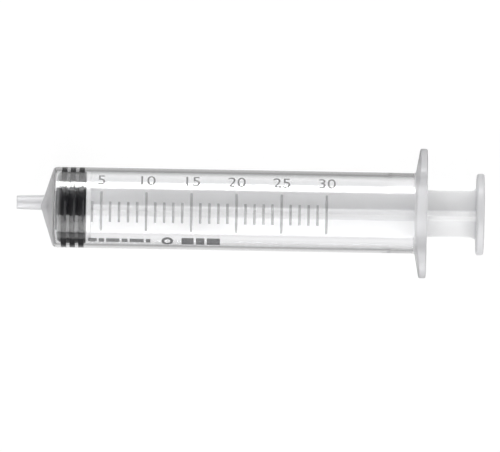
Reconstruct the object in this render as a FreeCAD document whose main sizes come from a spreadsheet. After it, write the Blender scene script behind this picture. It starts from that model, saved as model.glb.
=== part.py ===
# Disposable three-piece syringe, 30 mL, with a plain tapered nozzle set to one side of the barrel.
#
# Pieces: a clear moulded barrel with its nozzle and finger flange, a rubber piston with three
# sealing ribs, and a moulded plunger with a cross-shaped rod.
#
# Sketches are drawn in the syringe's own lengthwise frame. X runs along the barrel's axis from the
# nozzle to the thumb rest, and X = 0 is the zero of the volume scale, the plane where the front
# face of the fully pushed piston would meet the wall of the bore. The syringe lies on the straight
# lower edge of its finger flange, scale side up, and the bodies are placed so that the origin is
# the middle of the footprint, on the surface that the syringe lies on.
import FreeCAD
import Part
import Sketcher
import math
import os

# Driving dimensions in millimetres, and one angle in degrees.
SIZES = {
    # Barrel tube and shoulder
    "bore_radius": 10.9,
    "barrel_wall": 1.1,
    "barrel_length": 110.2,
    "shoulder_angle": 18.1,
    "shoulder_wall": 1.0,
    "shoulder_bevel": 0.9,
    "chamber_bevel": 0.35,
    # Nozzle, with the 6 % taper of its kind, which is 0.03 on the radius
    "nozzle_offset": 6.5,
    "nozzle_reach": 12.1,
    "nozzle_tip_radius": 2.0,
    "nozzle_taper": 0.03,
    "nozzle_bore_radius": 1.0,
    "nozzle_funnel_length": 2.0,
    "nozzle_tip_bevel": 0.25,
    "nozzle_root_bevel": 0.4,
    # Finger flange, round with two flats, thinner towards the tips of its ears
    "flange_radius": 19.3,
    "flange_foot": 1.0,
    "flange_root_thickness": 3.4,
    "flange_tip_thickness": 2.1,
    "flange_corner_round": 4.0,
    "flange_edge_bevel": 0.5,
    "flange_root_bevel": 0.4,
    # Inner snap bead and the mouth behind it
    "bead_setback": 11.8,
    "bead_height": 0.35,
    "bead_width": 1.8,
    "mouth_relief": 0.15,
    "mouth_flare": 0.5,
    # Piston
    "piston_front_gap": 0.2,
    "piston_length": 8.7,
    "seal_clearance": 0.05,
    "seal_height": 0.85,
    "seal_width": 1.5,
    "seal_count": 3,
    "seal_pitch": 2.6,
    "seal_first": 2.25,
    "seal_bevel": 0.4,
    "land_clearance": 0.6,
    "land_bevel": 1.2,
    "lip_length": 2.3,
    # Plunger head, which snaps into the piston
    "head_radius": 5.8,
    "head_length": 2.0,
    "nose_radius": 2.2,
    "nose_length": 3.6,
    "neck_radius": 4.0,
    "head_play": 0.15,
    "neck_clearance": 0.08,
    "head_bevel": 0.4,
    # Plunger rod and thumb rest
    "disc_clearance": 0.3,
    "disc_thickness": 1.4,
    "rod_radius": 6.95,
    "rod_web": 1.5,
    "rod_root_round": 0.6,
    "rod_edge_round": 0.2,
    "gusset_height": 0.8,
    "gusset_length": 1.4,
    "thumb_standoff": 14.8,
    "thumb_radius": 12.15,
    "thumb_thickness": 2.3,
    "thumb_bevel": 0.55,
    "grip_groove_count": 3,
    "grip_groove_first": 3.2,
    "grip_groove_pitch": 2.4,
    "grip_groove_width": 0.9,
    "grip_groove_depth": 0.35,
}

# Lengths worked out from the driving dimensions, as expressions on the sheet.
SLOPE = "tan(Sizes.shoulder_angle * 1deg)"
BARREL_RADIUS = "(Sizes.bore_radius + Sizes.barrel_wall)"
CHAMBER_EDGE = "(-Sizes.piston_front_gap)"
CHAMBER_APEX = f"({CHAMBER_EDGE} - Sizes.bore_radius * {SLOPE})"
SHOULDER_APEX = f"({CHAMBER_APEX} - Sizes.shoulder_wall / cos(Sizes.shoulder_angle * 1deg))"
SHOULDER_RIM = f"({SHOULDER_APEX} + {BARREL_RADIUS} * {SLOPE})"
NOZZLE_TIP = "(-Sizes.nozzle_reach)"
NOZZLE_AXIS = "(-Sizes.nozzle_offset)"
NOZZLE_ROOT_RADIUS = (
    f"(Sizes.nozzle_tip_radius + Sizes.nozzle_taper * ({CHAMBER_EDGE} - {NOZZLE_TIP}))"
)
FLANGE_BACK = "Sizes.barrel_length"
FLANGE_FRONT = f"({FLANGE_BACK} - Sizes.flange_root_thickness)"
FLANGE_HALF_HEIGHT = f"({BARREL_RADIUS} + Sizes.flange_foot)"
BEAD_FRONT = f"({FLANGE_BACK} - Sizes.bead_setback - Sizes.bead_width / 2)"
MOUTH_RADIUS = "(Sizes.bore_radius + Sizes.mouth_relief)"

SEAL_RADIUS = "(Sizes.bore_radius - Sizes.seal_clearance)"
CORE_RADIUS = f"({SEAL_RADIUS} - Sizes.seal_height)"
LAND_RADIUS = "(Sizes.bore_radius - Sizes.land_clearance)"
SEAL_FRONT = "(Sizes.seal_first - Sizes.seal_width / 2)"
SEAL_BACK = "(Sizes.seal_first + Sizes.seal_width / 2)"
PISTON_BACK = "Sizes.piston_length"
LIP_FRONT = f"({PISTON_BACK} - Sizes.lip_length)"
LIP_RADIUS = "(Sizes.neck_radius + Sizes.neck_clearance)"

HEAD_BACK = f"({LIP_FRONT} - Sizes.head_play)"
HEAD_FRONT = f"({HEAD_BACK} - Sizes.head_length)"
NOSE_FRONT = f"({HEAD_FRONT} - Sizes.nose_length)"
DISC_FRONT = f"({PISTON_BACK} + Sizes.head_play)"
DISC_BACK = f"({DISC_FRONT} + Sizes.disc_thickness)"
DISC_RADIUS = "(Sizes.bore_radius - Sizes.disc_clearance)"
THUMB_FRONT = f"({FLANGE_BACK} + Sizes.thumb_standoff)"
THUMB_BACK = f"({THUMB_FRONT} + Sizes.thumb_thickness)"

# How far a cutting profile runs past the surface that it opens.
OVERCUT = "1"
# Two positions closer than this are taken as the same, in millimetres.
SAME = 1e-4

doc = FreeCAD.newDocument("Syringe")


def make_sheet():
    """Write the driving dimensions into the sheet, one row each, with their names as aliases."""
    sheet = doc.addObject("Spreadsheet::Sheet", "Sizes")
    for row, (name, value) in enumerate(SIZES.items(), start=1):
        sheet.set(f"A{row}", name)
        sheet.set(f"B{row}", str(value))
        sheet.setAlias(f"B{row}", name)
    doc.recompute()
    return sheet


sizes = make_sheet()


def value_of(expression):
    """The present value of an expression on the sheet."""
    return float(sizes.evalExpression(expression))


def make_body(label):
    """An empty body that carries its node's name and stands where the assembled syringe lies."""
    body = doc.addObject("PartDesign::Body", label.capitalize())
    body.Label = label
    body.setExpression("Placement.Base.x", f"-({NOZZLE_TIP} + {THUMB_BACK}) / 2")
    body.setExpression("Placement.Base.z", FLANGE_HALF_HEIGHT)
    return body


def new_sketch(body, name, plane):
    """An empty sketch on one of the body's own origin planes."""
    sketch = body.newObject("Sketcher::SketchObject", name)
    support = [f for f in body.Origin.OriginFeatures if f.Role == plane][0]
    sketch.AttachmentSupport = [(support, "")]
    sketch.MapMode = "FlatFace"
    return sketch


def pin_point(sketch, edge, end, place, tag):
    """Hold one end of an edge at a place given by two expressions."""
    for axis, expression in zip("XY", place):
        rule = Sketcher.Constraint("Distance" + axis, -1, 1, edge, end, value_of(expression))
        index = sketch.addConstraint(rule)
        sketch.renameConstraint(index, f"{tag}_{axis.lower()}")
        sketch.setExpression(f"Constraints.{tag}_{axis.lower()}", expression)


def draw_outline(sketch, corners, tag="corner"):
    """Add a closed outline with straight sides, each corner held by a pair of expressions."""
    points = [FreeCAD.Vector(value_of(x), value_of(y), 0) for x, y in corners]
    first = sketch.GeometryCount
    for start, end in zip(points, points[1:] + points[:1]):
        sketch.addGeometry(Part.LineSegment(start, end), False)
    count = len(points)
    for i in range(count):
        joint = Sketcher.Constraint("Coincident", first + i, 2, first + (i + 1) % count, 1)
        sketch.addConstraint(joint)
    for i, corner in enumerate(corners):
        pin_point(sketch, first + i, 1, corner, f"{tag}_{i}")


def draw_centre_line(sketch, start, end):
    """Add a construction line that a turned feature turns about."""
    places = [FreeCAD.Vector(value_of(x), value_of(y), 0) for x, y in (start, end)]
    edge = sketch.addGeometry(Part.LineSegment(*places), True)
    pin_point(sketch, edge, 1, start, "centre_start")
    pin_point(sketch, edge, 2, end, "centre_end")


def turn(body, sketch, name, kind="Revolution", axis="H_Axis"):
    """Turn a sketch once round, adding material or, as a Groove, taking it away."""
    feature = body.newObject(f"PartDesign::{kind}", name)
    feature.Profile = sketch
    feature.ReferenceAxis = (sketch, [axis])
    feature.Angle = 360
    doc.recompute()
    return feature


def turn_outline(body, name, corners, kind="Revolution"):
    """Turn an outline, drawn beside the barrel's axis, round that axis."""
    sketch = new_sketch(body, f"{name}_outline", "XY_Plane")
    draw_outline(sketch, corners)
    return turn(body, sketch, name, kind)


def turn_about_nozzle(body, name, corners, kind="Revolution"):
    """Turn an outline round the nozzle's axis, which lies straight below the barrel's."""
    sketch = new_sketch(body, f"{name}_outline", "XZ_Plane")
    draw_outline(sketch, corners)
    draw_centre_line(sketch, (NOZZLE_TIP, NOZZLE_AXIS), ("0", NOZZLE_AXIS))
    return turn(body, sketch, name, kind, "Axis0")


def edge_names(body, test):
    """Names of the edges of the body's newest shape that pass a test."""
    return [f"Edge{i}" for i, edge in enumerate(body.Tip.Shape.Edges, start=1) if test(edge)]


def ease_edges(body, name, test, size, kind="Chamfer"):
    """Bevel, or as a Fillet round, every edge that passes a test by a size given as an expression."""
    base = body.Tip
    names = edge_names(body, test)
    if not names:
        raise RuntimeError(f"{name}: no edge to ease")
    feature = body.newObject(f"PartDesign::{kind}", name)
    feature.Base = (base, names)
    feature.setExpression("Radius" if kind == "Fillet" else "Size", size)
    doc.recompute()
    if "Invalid" in feature.State:
        raise RuntimeError(f"{name}: the edges don't take this size")


def near(value, expression):
    """Whether a measured value is the value of an expression."""
    return abs(value - value_of(expression)) < SAME


def is_ring(edge, along, radius, across="0"):
    """Whether an edge is a whole circle round the X direction, at a height above the axis."""
    if not isinstance(edge.Curve, Part.Circle) or not edge.isClosed():
        return False
    centre = edge.Curve.Center
    placed = near(centre.x, along) and near(centre.z, across) and near(centre.y, "0")
    return placed and near(edge.Curve.Radius, radius)


def lengthwise(edge):
    """Whether an edge is a straight line along X."""
    if not isinstance(edge.Curve, Part.Line):
        return False
    return abs(abs(edge.tangentAt(edge.FirstParameter).x) - 1) < SAME


def make_barrel():
    """The barrel: tube, shoulder, nozzle and finger flange moulded as one piece."""
    body = make_body("barrel")
    turn_outline(
        body,
        "tube",
        [
            (SHOULDER_APEX, "0"),
            (SHOULDER_RIM, BARREL_RADIUS),
            (FLANGE_BACK, BARREL_RADIUS),
            (FLANGE_BACK, "0"),
        ],
    )
    turn_about_nozzle(
        body,
        "nozzle",
        [
            (NOZZLE_TIP, NOZZLE_AXIS),
            (NOZZLE_TIP, f"{NOZZLE_AXIS} - Sizes.nozzle_tip_radius"),
            (CHAMBER_EDGE, f"{NOZZLE_AXIS} - {NOZZLE_ROOT_RADIUS}"),
            (CHAMBER_EDGE, NOZZLE_AXIS),
        ],
    )
    turn_outline(
        body,
        "flange",
        [
            (FLANGE_BACK, "0"),
            (FLANGE_BACK, "Sizes.flange_radius"),
            (f"{FLANGE_BACK} - Sizes.flange_tip_thickness", "Sizes.flange_radius"),
            (FLANGE_FRONT, BARREL_RADIUS),
            (FLANGE_FRONT, "0"),
        ],
    )
    cut_flange_flats(body)
    ease_barrel(body)
    hollow_barrel(body)
    return body


def cut_flange_flats(body):
    """Cut the round flange to two flats, above and below, which leaves its two finger ears."""
    sketch = new_sketch(body, "flat_outline", "YZ_Plane")
    beyond = f"(Sizes.flange_radius + {OVERCUT})"
    for side, tag in ((1, "upper"), (-1, "lower")):
        inner = f"{side} * {FLANGE_HALF_HEIGHT}"
        outer = f"{side} * {beyond}"
        corners = [
            (f"-{beyond}", inner),
            (beyond, inner),
            (beyond, outer),
            (f"-{beyond}", outer),
        ]
        draw_outline(sketch, corners, tag)
    flats = body.newObject("PartDesign::Pocket", "flange_flats")
    flats.Profile = sketch
    flats.Reversed = True
    flats.setExpression("Length", f"{FLANGE_BACK} + {OVERCUT}")
    doc.recompute()


def ease_barrel(body):
    """Round the flange's corners and bevel the outer edges, each by what its wall allows."""
    corner_y = math.sqrt(value_of("Sizes.flange_radius") ** 2 - value_of(FLANGE_HALF_HEIGHT) ** 2)

    def at_flat_corner(edge):
        middle = edge.BoundBox.Center
        return lengthwise(edge) and abs(abs(middle.y) - corner_y) < SAME

    def on_flange_outline(edge):
        box = edge.BoundBox
        outside = max(abs(box.YMin), abs(box.YMax), abs(box.ZMin), abs(box.ZMax))
        within = box.XMin > value_of(FLANGE_FRONT) - SAME
        return within and not lengthwise(edge) and outside > value_of(FLANGE_HALF_HEIGHT) - SAME

    def at_nozzle_root(edge):
        box = edge.BoundBox
        ahead = value_of(NOZZLE_TIP) + SAME < box.XMin and box.XMax < 0
        return ahead and box.ZMax < 0 and not is_ring(edge, SHOULDER_RIM, BARREL_RADIUS)

    corner_round = "Sizes.flange_corner_round"
    ease_edges(body, "flange_corners", at_flat_corner, corner_round, "Fillet")
    tip_limit = "0.45 * Sizes.flange_tip_thickness"
    edge_bevel = f"min(Sizes.flange_edge_bevel; {tip_limit}; 0.5 * Sizes.flange_foot)"
    ease_edges(body, "flange_edges", on_flange_outline, edge_bevel)
    ease_edges(
        body,
        "flange_root",
        lambda edge: is_ring(edge, FLANGE_FRONT, BARREL_RADIUS),
        f"min(Sizes.flange_root_bevel; 0.8 * (Sizes.flange_foot - {edge_bevel}))",
    )
    ease_edges(
        body,
        "shoulder_rim",
        lambda edge: is_ring(edge, SHOULDER_RIM, BARREL_RADIUS),
        "Sizes.shoulder_bevel",
    )
    ease_edges(body, "nozzle_root", at_nozzle_root, "Sizes.nozzle_root_bevel")
    ease_edges(
        body,
        "nozzle_rim",
        lambda edge: is_ring(edge, NOZZLE_TIP, "Sizes.nozzle_tip_radius", NOZZLE_AXIS),
        "min(Sizes.nozzle_tip_bevel; 0.45 * (Sizes.nozzle_tip_radius - Sizes.nozzle_bore_radius))",
    )


def hollow_barrel(body):
    """Cut the chamber with its snap bead and mouth, and the nozzle's channel with its funnel."""
    bead_back = f"({BEAD_FRONT} + Sizes.bead_width)"
    bead_radius = "(Sizes.bore_radius - Sizes.bead_height)"
    flare_radius = f"({MOUTH_RADIUS} + Sizes.mouth_flare)"
    funnel_front = f"({CHAMBER_EDGE} - Sizes.nozzle_funnel_length)"
    funnel_rim = f"({NOZZLE_AXIS} - Sizes.nozzle_bore_radius - Sizes.nozzle_funnel_length)"
    turn_outline(
        body,
        "chamber",
        [
            (CHAMBER_APEX, "0"),
            (CHAMBER_EDGE, "Sizes.bore_radius"),
            (BEAD_FRONT, "Sizes.bore_radius"),
            (f"{BEAD_FRONT} + Sizes.bead_width / 3", bead_radius),
            (f"{bead_back} - Sizes.bead_width / 3", bead_radius),
            (bead_back, MOUTH_RADIUS),
            (f"{FLANGE_BACK} - Sizes.mouth_flare", MOUTH_RADIUS),
            (FLANGE_BACK, flare_radius),
            (f"{FLANGE_BACK} + {OVERCUT}", flare_radius),
            (f"{FLANGE_BACK} + {OVERCUT}", "0"),
        ],
        "Groove",
    )
    ease_edges(
        body,
        "chamber_corner",
        lambda edge: is_ring(edge, CHAMBER_EDGE, "Sizes.bore_radius"),
        "Sizes.chamber_bevel",
    )
    turn_about_nozzle(
        body,
        "nozzle_channel",
        [
            (f"{NOZZLE_TIP} - {OVERCUT}", NOZZLE_AXIS),
            (f"{NOZZLE_TIP} - {OVERCUT}", f"{NOZZLE_AXIS} - Sizes.nozzle_bore_radius"),
            (funnel_front, f"{NOZZLE_AXIS} - Sizes.nozzle_bore_radius"),
            (CHAMBER_EDGE, funnel_rim),
            (CHAMBER_EDGE, NOZZLE_AXIS),
        ],
        "Groove",
    )


def piston_face(radius):
    """Where the piston's conical front face lies at a given radius, parallel to the shoulder."""
    return f"(({radius} - Sizes.bore_radius) * {SLOPE})"


def make_piston():
    """The rubber piston: conical face, sealing ribs and the undercut socket for the plunger."""
    body = make_body("piston")
    bevel_radius = f"({LAND_RADIUS} - Sizes.land_bevel)"
    turn_outline(
        body,
        "core",
        [
            (piston_face("0"), "0"),
            (piston_face(bevel_radius), bevel_radius),
            (f"{piston_face(LAND_RADIUS)} + Sizes.land_bevel", LAND_RADIUS),
            ("Sizes.seal_first", LAND_RADIUS),
            ("Sizes.seal_first", CORE_RADIUS),
            (PISTON_BACK, CORE_RADIUS),
            (PISTON_BACK, "0"),
        ],
    )
    add_seals(body)
    turn_outline(
        body,
        "socket",
        [
            (f"{PISTON_BACK} + {OVERCUT}", "0"),
            (f"{PISTON_BACK} + {OVERCUT}", LIP_RADIUS),
            (LIP_FRONT, LIP_RADIUS),
            (LIP_FRONT, "Sizes.head_radius + Sizes.head_play"),
            (f"{HEAD_FRONT} - Sizes.head_play", "Sizes.head_radius + Sizes.head_play"),
            (f"{NOSE_FRONT} - Sizes.head_play", "Sizes.nose_radius + Sizes.head_play"),
            (f"{NOSE_FRONT} - Sizes.head_play", "0"),
        ],
        "Groove",
    )
    return body


def add_seals(body):
    """Turn one sealing rib with bevelled rims and repeat it along the piston."""
    bevel = "min(Sizes.seal_bevel; 0.45 * Sizes.seal_width; 0.8 * Sizes.seal_height)"
    rib = turn_outline(
        body,
        "seal",
        [
            (SEAL_FRONT, f"{CORE_RADIUS} - {OVERCUT}"),
            (SEAL_FRONT, f"{SEAL_RADIUS} - {bevel}"),
            (f"{SEAL_FRONT} + {bevel}", SEAL_RADIUS),
            (f"{SEAL_BACK} - {bevel}", SEAL_RADIUS),
            (SEAL_BACK, f"{SEAL_RADIUS} - {bevel}"),
            (SEAL_BACK, f"{CORE_RADIUS} - {OVERCUT}"),
        ],
    )
    seals = body.newObject("PartDesign::LinearPattern", "seals")
    seals.Originals = [rib]
    seals.Direction = (rib.Profile[0], ["H_Axis"])
    seals.setExpression("Length", "Sizes.seal_pitch * (Sizes.seal_count - 1)")
    seals.setExpression("Occurrences", "Sizes.seal_count")
    body.Tip = seals
    doc.recompute()


def make_plunger():
    """The plunger: snap head, support disc, cross-shaped rod and thumb rest as one moulding."""
    body = make_body("plunger")
    turn_outline(
        body,
        "head",
        [
            (NOSE_FRONT, "0"),
            (NOSE_FRONT, "Sizes.nose_radius"),
            (HEAD_FRONT, "Sizes.head_radius"),
            (HEAD_BACK, "Sizes.head_radius"),
            (HEAD_BACK, "Sizes.neck_radius"),
            (DISC_FRONT, "Sizes.neck_radius"),
            (DISC_FRONT, DISC_RADIUS),
            (DISC_BACK, DISC_RADIUS),
            (DISC_BACK, "0"),
        ],
    )
    ease_edges(
        body,
        "head_rim",
        lambda edge: is_ring(edge, HEAD_FRONT, "Sizes.head_radius"),
        "Sizes.head_bevel",
    )
    add_rod(body)
    add_thumb_rest(body)
    return body


def add_rod(body):
    """Two crossed webs from the disc to the thumb rest, widened by a gusset at both ends."""
    sketch = new_sketch(body, "web_outline", "XY_Plane")
    end_radius = "(Sizes.rod_radius + Sizes.gusset_height)"
    half = [
        (f"{DISC_BACK} - Sizes.disc_thickness / 2", end_radius),
        (DISC_BACK, end_radius),
        (f"{DISC_BACK} + Sizes.gusset_length", "Sizes.rod_radius"),
        (f"{THUMB_FRONT} - Sizes.gusset_length", "Sizes.rod_radius"),
        (THUMB_FRONT, end_radius),
        (f"{THUMB_FRONT} + Sizes.thumb_thickness / 2", end_radius),
    ]
    draw_outline(sketch, half + [(along, f"-{across}") for along, across in reversed(half)])
    web = body.newObject("PartDesign::Pad", "web")
    web.Profile = sketch
    web.SideType = "Symmetric"
    web.setExpression("Length", "Sizes.rod_web")
    doc.recompute()
    cross = body.newObject("PartDesign::PolarPattern", "cross")
    cross.Originals = [web]
    cross.Axis = (sketch, ["H_Axis"])
    cross.Angle = 90
    cross.Occurrences = 2
    body.Tip = cross
    doc.recompute()

    def in_cross_corner(edge):
        middle = edge.BoundBox.Center
        both = near(abs(middle.y), "Sizes.rod_web / 2") and near(abs(middle.z), "Sizes.rod_web / 2")
        return lengthwise(edge) and both

    def on_web_tip(edge):
        middle = edge.BoundBox.Center
        high = max(abs(middle.y), abs(middle.z))
        low = min(abs(middle.y), abs(middle.z))
        return lengthwise(edge) and near(high, "Sizes.rod_radius") and near(low, "Sizes.rod_web / 2")

    ease_edges(body, "cross_corners", in_cross_corner, "Sizes.rod_root_round", "Fillet")
    tip_round = "min(Sizes.rod_edge_round; 0.4 * Sizes.rod_web)"
    ease_edges(body, "web_tips", on_web_tip, tip_round, "Fillet")


def add_thumb_rest(body):
    """A round thumb rest with bevelled rims and ring-shaped grip grooves in its outer face."""
    bevel = "min(Sizes.thumb_bevel; 0.45 * Sizes.thumb_thickness)"
    turn_outline(
        body,
        "thumb_rest",
        [
            (THUMB_FRONT, "0"),
            (THUMB_FRONT, f"Sizes.thumb_radius - {bevel}"),
            (f"{THUMB_FRONT} + {bevel}", "Sizes.thumb_radius"),
            (f"{THUMB_BACK} - {bevel}", "Sizes.thumb_radius"),
            (THUMB_BACK, f"Sizes.thumb_radius - {bevel}"),
            (THUMB_BACK, "0"),
        ],
    )
    sketch = new_sketch(body, "grip_outline", "XY_Plane")
    for i in range(SIZES["grip_groove_count"]):
        near_side = f"(Sizes.grip_groove_first + {i} * Sizes.grip_groove_pitch)"
        far_side = f"({near_side} + Sizes.grip_groove_width)"
        corners = [
            (f"{THUMB_BACK} - Sizes.grip_groove_depth", near_side),
            (f"{THUMB_BACK} - Sizes.grip_groove_depth", far_side),
            (f"{THUMB_BACK} + {OVERCUT}", far_side),
            (f"{THUMB_BACK} + {OVERCUT}", near_side),
        ]
        draw_outline(sketch, corners, f"groove_{i}")
    turn(body, sketch, "grip_grooves", "Groove")


def check_document():
    """Stop if any object of the document failed to compute."""
    doc.recompute()
    for item in doc.Objects:
        if "Invalid" in item.State or "Error" in item.State:
            raise RuntimeError(f"{item.Name} failed: {item.State}")


def export(body):
    """Write one node's solid, once it is sound."""
    shape = body.Shape
    if shape.isNull() or not shape.isValid() or len(shape.Solids) != 1:
        raise RuntimeError(f"{body.Label} is not one sound solid")
    shape.exportStep(os.path.join("parts", f"{body.Label}.step"))
    box = shape.BoundBox
    print(
        f"{body.Label}: {shape.Volume:.1f} mm3, {box.XLength:.2f} x {box.YLength:.2f} x"
        f" {box.ZLength:.2f} mm, from {box.XMin:.2f} {box.YMin:.2f} {box.ZMin:.2f}"
    )


pieces = [make_barrel(), make_piston(), make_plunger()]
check_document()
os.makedirs("parts", exist_ok=True)
for piece in pieces:
    export(piece)
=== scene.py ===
"""A 30 mL syringe with a slip nozzle, lying on a white table with its printed scale uppermost.

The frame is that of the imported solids, in metres: X runs along the barrel from the nozzle to the
thumb rest, Z is up, and the barrel's axis lies level above the table. Sizes along the barrel are
given from the zero of the volume scale. Angles round the barrel are measured from straight up,
and are positive towards +Y.
"""

import logging
import math
from collections.abc import Callable, Iterable, Sequence
from dataclasses import dataclass, field
from enum import Enum

import bmesh
import bpy
from mathutils import Matrix, Vector

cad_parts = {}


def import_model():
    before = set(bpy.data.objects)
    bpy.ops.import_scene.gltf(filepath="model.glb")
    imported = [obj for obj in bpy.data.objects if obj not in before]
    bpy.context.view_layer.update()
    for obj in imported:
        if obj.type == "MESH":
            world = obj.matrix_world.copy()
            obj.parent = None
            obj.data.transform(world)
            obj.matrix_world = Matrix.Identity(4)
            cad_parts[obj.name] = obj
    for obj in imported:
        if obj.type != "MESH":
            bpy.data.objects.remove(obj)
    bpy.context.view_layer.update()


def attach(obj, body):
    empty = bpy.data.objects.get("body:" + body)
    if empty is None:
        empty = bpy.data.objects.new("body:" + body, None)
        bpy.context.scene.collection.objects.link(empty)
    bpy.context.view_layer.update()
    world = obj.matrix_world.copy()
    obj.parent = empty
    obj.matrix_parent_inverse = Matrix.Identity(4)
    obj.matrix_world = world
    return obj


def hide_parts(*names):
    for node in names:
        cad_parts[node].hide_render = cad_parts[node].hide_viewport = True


log = logging.getLogger("syringe")

MM = 0.001

# Where the scale's zero and the barrel's axis lie in the frame.
SCALE_ZERO_X = -57.6 * MM
AXIS_Z = 13.0 * MM

# The share of the shorter side beside a corner that its rounding may take, and how far beyond the
# rounding, as a share of its reach, its two close points lie.
EASE_ROOM = 0.42
EASE_GUARD = 0.12

# Points nearer to each other than this are one.
WELD = 0.0001 * MM

# Refractive index of polypropylene.
PLASTIC_IOR = 1.49

Point = tuple[float, float]
Colour = tuple[float, float, float, float]
Ring = list[Vector]


class Body(Enum):
    """The bodies that the pieces ride on."""

    BARREL = "barrel"
    PISTON = "piston"
    PLUNGER = "plunger"


class Slot(Enum):
    """The record's material slots."""

    CLEAR = "clear_plastic"
    RUBBER = "black_rubber"
    MILKY = "milky_plastic"


class Cover(Enum):
    """The barrel's finishes, in the order of its material slots."""

    CLEAR = 0
    FROSTED = 1
    CLOUDED = 2
    MISTED = 3


@dataclass(frozen=True)
class Corner:
    """A corner of a profile beside an axis, with the radius that eases it.

    Attributes:
        x: place along the axis, from the scale's zero.
        r: distance from the axis.
        ease: radius of the corner's rounding, 0 for a sharp corner.
    """

    x: float
    r: float
    ease: float = 0.0


def eased(corners: Sequence[Corner], steps: int = 5) -> list[Point]:
    """Round the corners of a profile.

    Each rounding gets a close point just before and after it, so that smooth shading stays flat
    beside it. The number of points depends on the list alone and not on its sizes.

    Args:
        corners: the profile's corners in order. The first and last are kept as they are.
        steps: how many segments each rounding has.

    Returns:
        The points of the rounded profile.
    """
    points: list[Point] = []
    for i, corner in enumerate(corners):
        here = Vector((corner.x, corner.r))
        if corner.ease <= 0 or i in (0, len(corners) - 1):
            points.append((here.x, here.y))
            continue
        before = Vector((corners[i - 1].x, corners[i - 1].r)) - here
        after = Vector((corners[i + 1].x, corners[i + 1].r)) - here
        room = EASE_ROOM * min(before.length, after.length)
        before.normalize()
        after.normalize()
        half = before.angle(after) / 2
        reach = min(corner.ease / math.tan(half), room)
        radius = reach * math.tan(half)
        centre = here + (before + after).normalized() * (radius / math.sin(half))
        start = here + before * reach - centre
        end = here + after * reach - centre
        guard = EASE_GUARD * reach
        first = centre + start + before * guard
        points.append((first.x, first.y))
        sweep = start.angle_signed(end)
        for step in range(steps + 1):
            spoke = start.copy()
            spoke.rotate(Matrix.Rotation(-sweep * step / steps, 2))
            spot = centre + spoke
            points.append((spot.x, spot.y))
        last = centre + end + after * guard
        points.append((last.x, last.y))
    return points


def along(start: float, end: float, count: int) -> list[float]:
    """Evenly spaced places strictly between two ends."""
    return [start + (end - start) * (i + 1) / (count + 1) for i in range(count)]


def placed(x: float, y: float, z: float) -> Vector:
    """A point of the syringe, given from the scale's zero and the barrel's axis, in the frame."""
    return Vector((SCALE_ZERO_X + x, y, AXIS_Z + z))


def wrapped(x: float, arc: float, lift: float, radius: float) -> Vector:
    """A point laid round the barrel.

    Args:
        x: place along the barrel, from the scale's zero.
        arc: distance round the barrel from straight up, positive towards +Y.
        lift: height over the surface.
        radius: the surface's radius.

    Returns:
        The point in the frame.
    """
    turn = arc / radius
    return placed(x, (radius + lift) * math.sin(turn), (radius + lift) * math.cos(turn))


def new_piece(name: str, mesh: bpy.types.Mesh | bpy.types.TextCurve) -> bpy.types.Object:
    """An object at the frame's origin.

    Args:
        name: the object's name.
        mesh: the mesh or the text that it carries.

    Returns:
        The object, linked into the scene.
    """
    piece = bpy.data.objects.new(name, mesh)
    bpy.context.scene.collection.objects.link(piece)
    return piece


def skin(name: str, rings: Sequence[Ring], closed: bool = False) -> bpy.types.Mesh:
    """Join rings of points into a smooth skin of quads.

    Args:
        name: the mesh's name.
        rings: rings of equal length, or of one point where the skin closes at a pole.
        closed: whether the last ring joins the first.

    Returns:
        The mesh, with its faces pointing outwards.
    """
    mesh = bpy.data.meshes.new(name)
    build = bmesh.new()
    loops = [[build.verts.new(p) for p in ring] for ring in rings]
    pairs = list(zip(loops, loops[1:]))
    if closed:
        pairs.append((loops[-1], loops[0]))
    for low, high in pairs:
        count = max(len(low), len(high))
        for i in range(count):
            j = (i + 1) % count
            corners = [low[i % len(low)], low[j % len(low)]]
            corners += [high[j % len(high)], high[i % len(high)]]
            build.faces.new(list(dict.fromkeys(corners)))
    bmesh.ops.recalc_face_normals(build, faces=build.faces)
    build.to_mesh(mesh)
    build.free()
    mesh.shade_smooth()
    return mesh


def turned(name: str, profile: Sequence[Point], count: int) -> bpy.types.Mesh:
    """Turn a profile round the barrel's axis.

    Args:
        name: the mesh's name.
        profile: points along the axis, closed at both ends where they touch it.
        count: how many segments go round.

    Returns:
        The closed mesh.
    """
    nothing = 1e-6 * MM
    spokes = [2 * math.pi * i / count for i in range(count)]
    rings: list[Ring] = []
    for x, r in profile:
        angles = spokes if r > nothing else spokes[:1]
        rings.append([placed(x, r * math.sin(a), r * math.cos(a)) for a in angles])
    return skin(name, rings)


def evaluated(piece: bpy.types.Object, name: str) -> bpy.types.Mesh:
    """The mesh that an object's modifiers make, as a plain mesh of its own.

    Args:
        piece: the object.
        name: the mesh's name.

    Returns:
        The mesh.
    """
    view = bpy.context.evaluated_depsgraph_get()
    mesh = bpy.data.meshes.new_from_object(piece.evaluated_get(view), depsgraph=view)
    mesh.name = name
    return mesh


def clear_away(*pieces: bpy.types.Object) -> None:
    """Remove helper objects that aren't part of the syringe."""
    for piece in pieces:
        bpy.data.objects.remove(piece)


# Shader effects and finishes


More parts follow.
